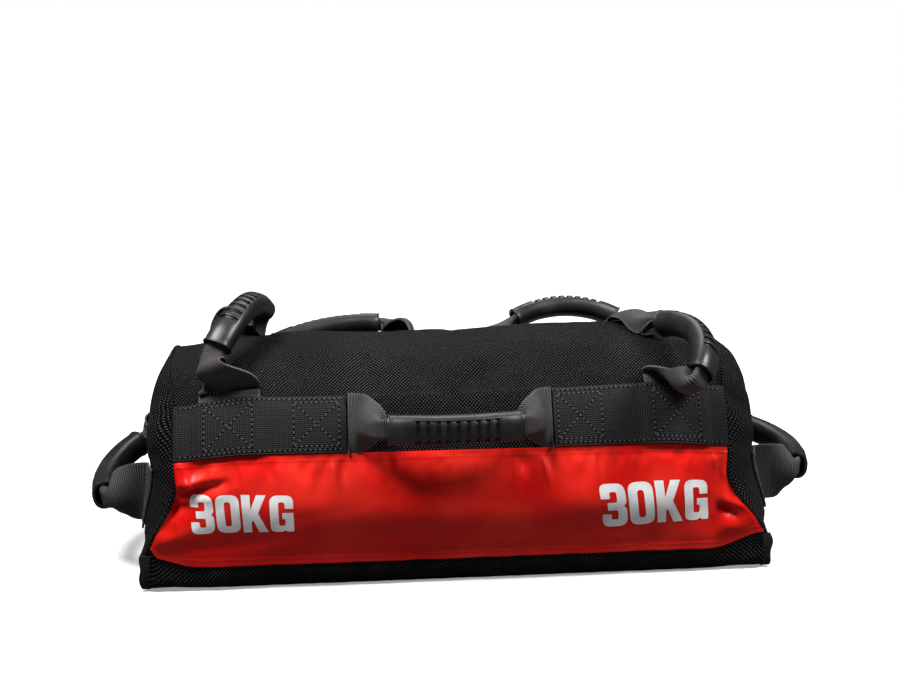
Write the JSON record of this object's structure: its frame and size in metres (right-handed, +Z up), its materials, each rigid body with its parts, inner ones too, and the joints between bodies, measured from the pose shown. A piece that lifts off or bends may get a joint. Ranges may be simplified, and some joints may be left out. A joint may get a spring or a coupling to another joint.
{
  "type": "sandbag trainer",
  "caption": "Filled training sandbag: woven bag with a coated front panel, webbing bands and looped webbing handles with rubber grips, zipped at the rear.",
  "frame": {"origin": "on the ground under the middle of the bag", "axes": "+X along the bag to its right end, -Y to the front with the coated panel, +Z up"},
  "size_m": [0.7343, 0.3592, 0.2713],
  "materials": {
    "black_canvas": "coarse woven nylon, matt",
    "red_coated_cloth": "coated cloth, satin",
    "grey_webbing": "ribbed webbing, matt",
    "black_binding": "folded binding tape, matt",
    "black_rubber": "moulded rubber, satin",
    "zip_tape": "woven tape, matt",
    "zip_teeth": "moulded teeth, satin",
    "black_metal": "black lacquered, satin",
    "sand": "loose dry sand",
    "liner_cloth": "coated liner cloth, satin",
    "hook_tape": "hook-and-loop tape, matt"
  },
  "bodies": {
    "bag": {"bottom_panel": "black_canvas", "corner_binding_front_left": "black_binding", "corner_binding_front_right": "black_binding", "corner_binding_rear_left": "black_binding", "corner_binding_rear_right": "black_binding", "end_panel_left": "black_canvas", "end_panel_right": "black_canvas", "filler_1_closure": "hook_tape", "filler_1_liner": "liner_cloth", "filler_1_sand": "sand", "filler_2_closure": "hook_tape", "filler_2_liner": "liner_cloth", "filler_2_sand": "sand", "filler_3_closure": "hook_tape", "filler_3_liner": "liner_cloth", "filler_3_sand": "sand", "front_band_left": "grey_webbing", "front_band_right": "grey_webbing", "front_panel": "red_coated_cloth", "rear_band_left": "grey_webbing", "rear_band_middle": "grey_webbing", "rear_band_right": "grey_webbing", "rear_panel": "black_canvas", "side_left_tab_front": "grey_webbing", "side_left_tab_rear": "grey_webbing", "side_right_tab_front": "grey_webbing", "side_right_tab_rear": "grey_webbing", "top_left_tab_front": "grey_webbing", "top_left_tab_rear": "grey_webbing", "top_panel": "black_canvas", "top_right_tab_front": "grey_webbing", "top_right_tab_rear": "grey_webbing", "zip_chain": "zip_teeth", "zip_stop_left": "black_metal", "zip_stop_right": "black_metal", "zip_tape_lower": "zip_tape", "zip_tape_upper": "zip_tape"},
    "front_handle": {"front_handle_grip": "black_rubber", "front_handle_strap": "grey_webbing"},
    "rear_left_handle": {"rear_left_handle_grip": "black_rubber", "rear_left_handle_strap": "grey_webbing"},
    "rear_right_handle": {"rear_right_handle_grip": "black_rubber", "rear_right_handle_strap": "grey_webbing"},
    "side_left_handle": {"side_left_handle_grip": "black_rubber", "side_left_handle_strap": "grey_webbing"},
    "side_right_handle": {"side_right_handle_grip": "black_rubber", "side_right_handle_strap": "grey_webbing"},
    "top_left_handle": {"top_left_handle_grip": "black_rubber", "top_left_handle_strap": "grey_webbing"},
    "top_right_handle": {"top_right_handle_grip": "black_rubber", "top_right_handle_strap": "grey_webbing"},
    "zip_pull_body": {"zip_pull_tab": "black_metal"},
    "zip_slider_body": {"zip_slider": "black_metal"}
  },
  "joints": [
    {"name": "front_handle_swing", "type": "hinge", "parent": "bag", "child": "front_handle", "pos_m": [-0.00603, -0.12913, 0.15697], "axis": [1, -0.0001, 0.0073], "range_deg": [-90, 42], "deforming": ["front_handle_strap"]},
    {"name": "rear_left_handle_swing", "type": "hinge", "parent": "bag", "child": "rear_left_handle", "pos_m": [-0.10506, 0.11265, 0.16998], "axis": [1, 0, 0.0002], "range_deg": [-70, 64], "deforming": ["rear_left_handle_strap"]},
    {"name": "rear_right_handle_swing", "type": "hinge", "parent": "bag", "child": "rear_right_handle", "pos_m": [0.14803, 0.11098, 0.1711], "axis": [0.9998, -0.0198, -0.0022], "range_deg": [-104, 46], "deforming": ["rear_right_handle_strap"]},
    {"name": "side_left_handle_swing", "type": "hinge", "parent": "bag", "child": "side_left_handle", "pos_m": [-0.29456, 0, 0.091], "axis": [0.0207, 0.9866, 0.162], "range_deg": [-44, 66], "deforming": ["side_left_handle_strap"]},
    {"name": "side_right_handle_swing", "type": "hinge", "parent": "bag", "child": "side_right_handle", "pos_m": [0.31279, 0, 0.091], "axis": [-0.0312, 0.9863, 0.1619], "range_deg": [-70, 54], "deforming": ["side_right_handle_strap"]},
    {"name": "top_left_handle_swing", "type": "hinge", "parent": "bag", "child": "top_left_handle", "pos_m": [-0.21091, -0.03316, 0.20073], "axis": [0, 0.9817, 0.1904], "range_deg": [-54, 24], "deforming": ["top_left_handle_strap"]},
    {"name": "top_right_handle_swing", "type": "hinge", "parent": "bag", "child": "top_right_handle", "pos_m": [0.21091, -0.03319, 0.20914], "axis": [0, 0.9794, 0.202], "range_deg": [-46, 38], "deforming": ["top_right_handle_strap"]},
    {"name": "zip_slide", "type": "slide", "parent": "bag", "child": "zip_slider_body", "axis": [1, 0, 0], "range_m": [0, 0.357]},
    {"name": "zip_pull_swing", "type": "hinge", "parent": "zip_slider_body", "child": "zip_pull_body", "pos_m": [-0.17975, 0.13705, 0.09584], "axis": [0, -0.0463, 0.9989], "range_deg": [0, 165]}
  ]
}
